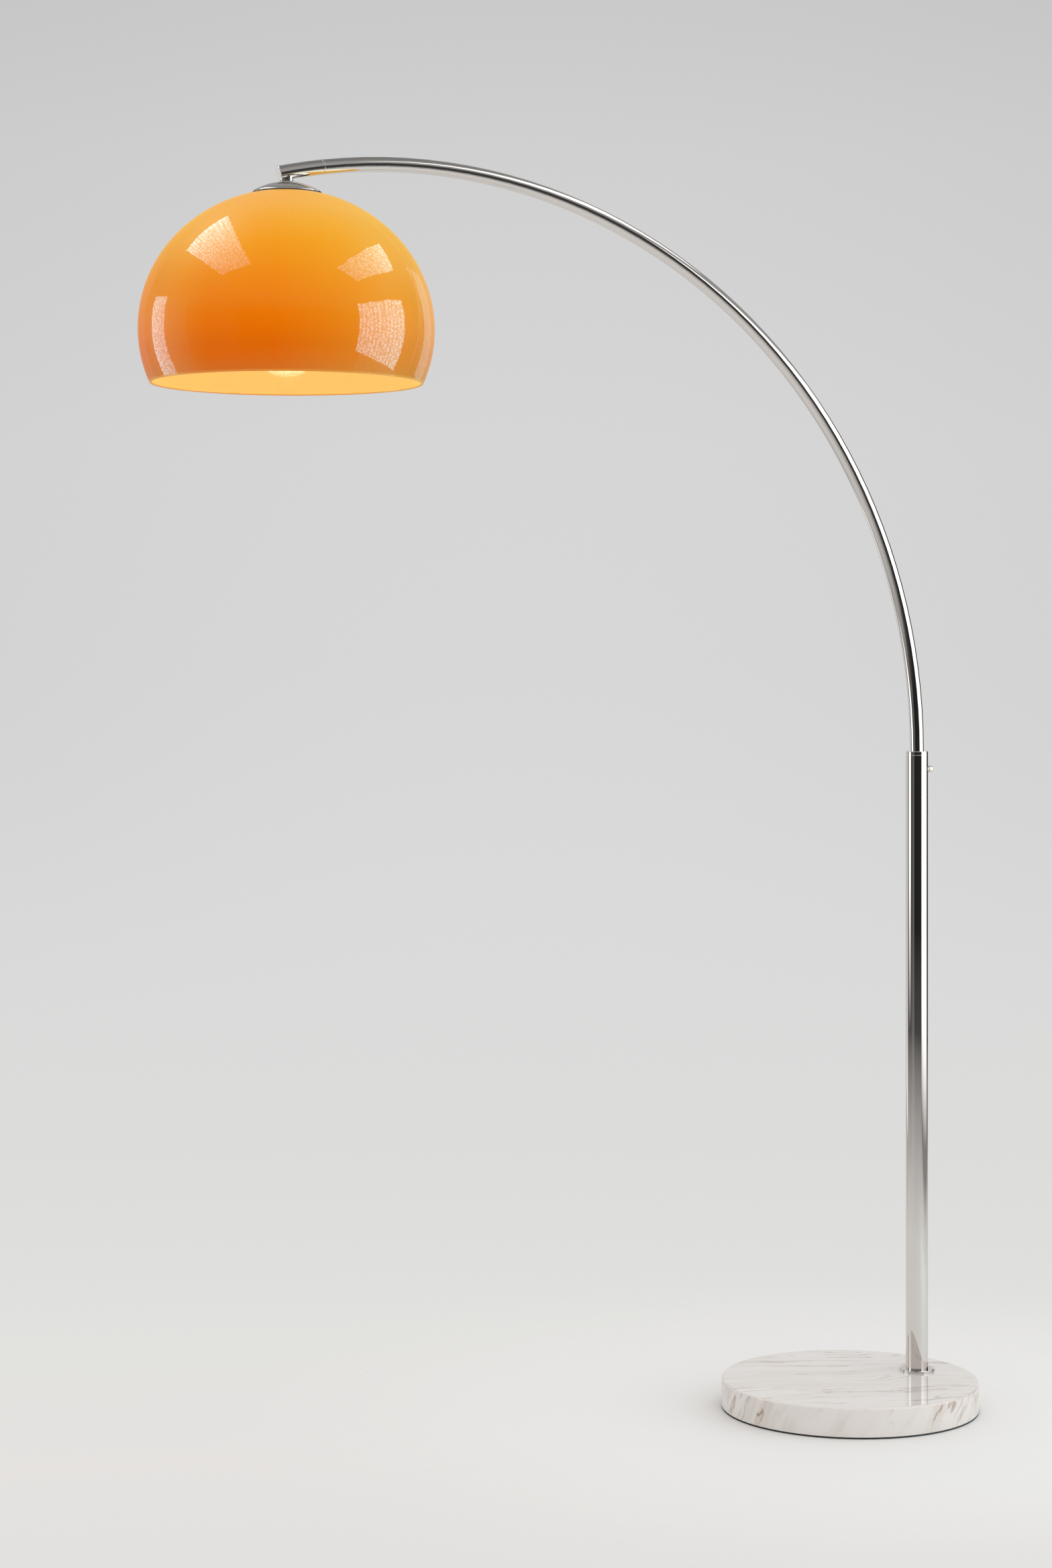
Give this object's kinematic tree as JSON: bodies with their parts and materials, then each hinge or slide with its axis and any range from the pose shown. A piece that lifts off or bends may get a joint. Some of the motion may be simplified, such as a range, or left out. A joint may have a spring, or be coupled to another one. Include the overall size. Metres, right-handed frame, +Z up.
{
  "type": "arc floor lamp",
  "caption": "Floor lamp with a round marble base, a straight chrome pole, a telescoping arc arm that swivels, and a glossy orange acrylic dome shade over a screw-in bulb.",
  "frame": {"origin": "centre of the base's underside, on the floor", "axes": "+Z up; the arm reaches from the pole towards -X; the lamp is symmetric about the XZ plane"},
  "size_m": [1.2269, 0.386, 1.7279],
  "materials": {
    "marble": "polished, cream with brown-grey veins",
    "pad_rubber": "matt sheet",
    "chrome": "mirror plated",
    "zinc_steel": "zinc plated",
    "brass": "turned",
    "nylon": "natural, moulded",
    "gland_rubber": "moulded",
    "orange_acrylic": "glossy, translucent",
    "silicone": "translucent",
    "holder_plastic": "moulded thermoset",
    "porcelain": "fired",
    "bulb_insulator": "vitrified",
    "bulb_cap_metal": "pressed",
    "opal_glass": "opal, lit"
  },
  "bodies": {
    "stand": {"foot_pad": "pad_rubber", "base_disc": "marble", "anchor_washer": "zinc_steel", "lock_washer": "zinc_steel", "anchor_nut": "zinc_steel", "anchor_stud": "zinc_steel", "pole_flange": "chrome", "pole_tube": "chrome", "foot_plug": "zinc_steel", "cord_gland": "gland_rubber", "pole_collar": "chrome", "upper_bush": "nylon", "clamp_insert": "brass"},
    "clamp_tip": {"clamp_pad": "nylon"},
    "clamp_knob": {"clamp_screw": "chrome"},
    "slider": {"slide_bush": "nylon"},
    "arm": {"arm_tube": "chrome", "stop_ring": "zinc_steel", "tail_plug": "nylon", "arm_spigot": "zinc_steel", "tip_tube": "chrome", "tip_cap": "chrome", "neck_boss": "chrome"},
    "head": {"stem": "zinc_steel", "stem_nut": "zinc_steel", "swivel_washer": "nylon", "dome_cap": "chrome", "cap_spacer": "zinc_steel", "shade_gasket": "silicone", "shade": "orange_acrylic", "shade_washer": "zinc_steel", "shade_nut": "zinc_steel", "holder_cup": "holder_plastic", "holder_block": "porcelain", "holder_contact": "brass", "holder_shell": "brass", "holder_skirt": "holder_plastic", "bulb_contact": "bulb_insulator", "bulb_cap": "bulb_cap_metal", "bulb_glass": "opal_glass"}
  },
  "joints": [
    {"name": "arm_height", "type": "slide", "parent": "stand", "child": "slider", "axis": [0, 0, 1], "range_m": [0, 0.24]},
    {"name": "arm_swivel", "type": "hinge", "parent": "slider", "child": "arm", "pos_m": [0.112, 0, 0.8], "axis": [0, 0, 1], "range_deg": [-175, 175]},
    {"name": "clamp_feed", "type": "slide", "parent": "stand", "child": "clamp_tip", "axis": [1, 0, 0], "range_m": [0, 0.0024]},
    {"name": "clamp_turn", "type": "hinge", "parent": "clamp_tip", "child": "clamp_knob", "pos_m": [0.112, 0, 0.905], "axis": [1, 0, 0], "range_deg": [0, 1088]},
    {"name": "head_swivel", "type": "hinge", "parent": "arm", "child": "head", "pos_m": [-0.85192, 0, 1.69], "axis": [0, 0, 1], "range_deg": [-170, 170]}
  ],
  "couplings": [
    {"joint": "clamp_turn", "follows": "clamp_feed", "rad_per_m": 7854}
  ]
}
